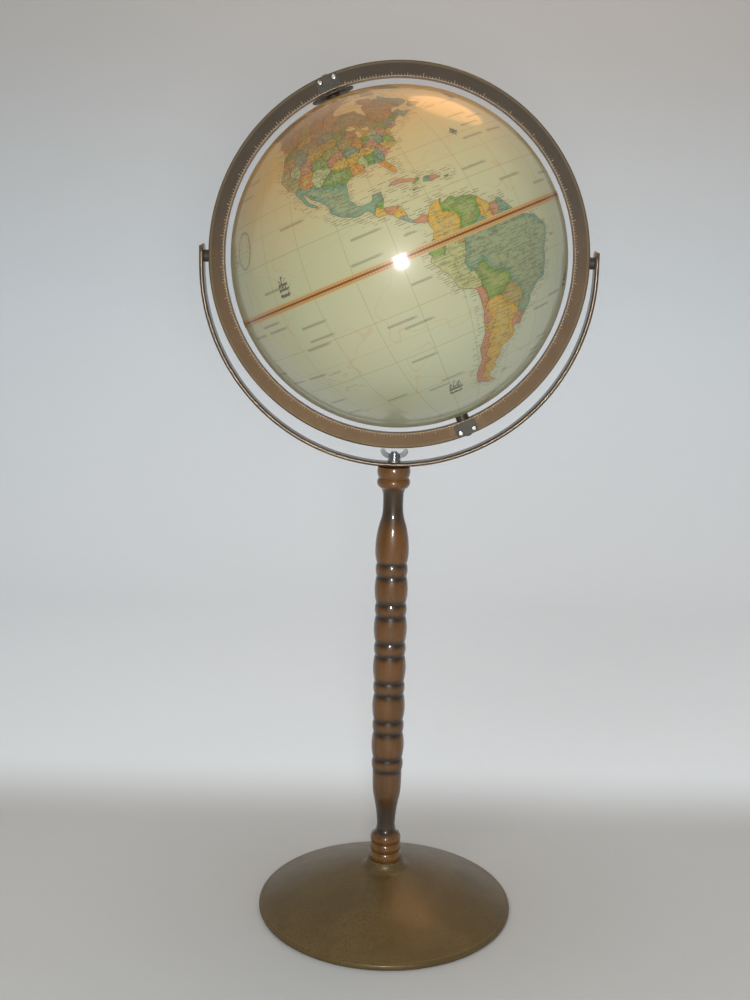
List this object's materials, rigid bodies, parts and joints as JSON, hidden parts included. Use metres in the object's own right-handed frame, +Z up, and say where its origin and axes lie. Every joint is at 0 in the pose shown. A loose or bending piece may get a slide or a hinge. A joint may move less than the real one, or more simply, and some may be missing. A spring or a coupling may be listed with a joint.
{
  "type": "globe on floor stand",
  "caption": "Ball with a printed map in a full meridian ring that swings in a cradle, on a turned wooden post with a domed metal base.",
  "frame": {"origin": "on the floor, at the middle of the base, on the post's centre line", "axes": "+Z up along the post, +X along the ring's swing axis, +Y away from the viewer; the map's north pole leans towards -X"},
  "size_m": [0.3626, 0.3056, 0.808],
  "materials": {
    "stand_paint": "bronze-brown speckled enamel, satin gloss",
    "ring_paint": "bronze-brown cast metal with darker speckle, satin",
    "cast_iron": "rough casting, black",
    "steel": "dull plated steel",
    "zinc": "bright zinc plate",
    "walnut": "walnut stain under gloss varnish",
    "dark_plastic": "dark brown, satin",
    "dial_card": "bronze-brown disc with pale divisions",
    "map_paper": "parchment-coloured printed paper under gloss varnish",
    "pressed_card": "grey-brown pressed board",
    "brass": "plain brass"
  },
  "bodies": {
    "stand": {"base_shell": "stand_paint", "base_weight": "cast_iron", "base_washer": "steel", "base_nut": "steel", "tie_rod": "steel", "post": "walnut"},
    "cradle": {"cradle": "stand_paint", "lock_washer": "zinc"},
    "wing_nut": {"wing_nut": "zinc"},
    "ring": {"meridian_ring": "ring_paint", "left_pivot_screw": "stand_paint", "right_pivot_screw": "stand_paint", "left_pivot_bush": "dark_plastic", "right_pivot_bush": "dark_plastic", "north_pole_plate": "ring_paint", "south_pole_plate": "ring_paint", "north_pole_rivets": "steel", "south_pole_rivets": "steel", "north_axis_pin": "steel", "south_axis_pin": "steel", "south_thrust_washer": "dark_plastic", "north_spacer": "dark_plastic"},
    "dial": {"hour_dial": "dial_card"},
    "globe": {"north_hemisphere": "map_paper", "south_hemisphere": "map_paper", "north_pole_ferrule": "brass", "south_pole_ferrule": "brass", "north_pole_cup": "pressed_card", "south_pole_cup": "pressed_card", "equator_tape": "map_paper", "joining_hoop": "pressed_card"}
  },
  "joints": [
    {"name": "cradle_turn", "type": "hinge", "parent": "stand", "child": "cradle", "pos_m": [0, 0, 0.4485], "axis": [0, 0, 1], "continuous": true},
    {"name": "wing_nut_turn", "type": "hinge", "parent": "stand", "child": "wing_nut", "pos_m": [0, 0, 0.4555], "axis": [0, 0, 1], "range_deg": [0, 180]},
    {"name": "ring_tilt", "type": "hinge", "parent": "cradle", "child": "ring", "pos_m": [0, 0, 0.635], "axis": [1, 0, 0], "continuous": true},
    {"name": "dial_turn", "type": "hinge", "parent": "ring", "child": "dial", "pos_m": [-0.06101, 0, 0.77531], "axis": [-0.3987, 0, 0.9171], "continuous": true},
    {"name": "globe_spin", "type": "hinge", "parent": "ring", "child": "globe", "pos_m": [0, 0, 0.635], "axis": [-0.3987, 0, 0.9171], "continuous": true}
  ]
}
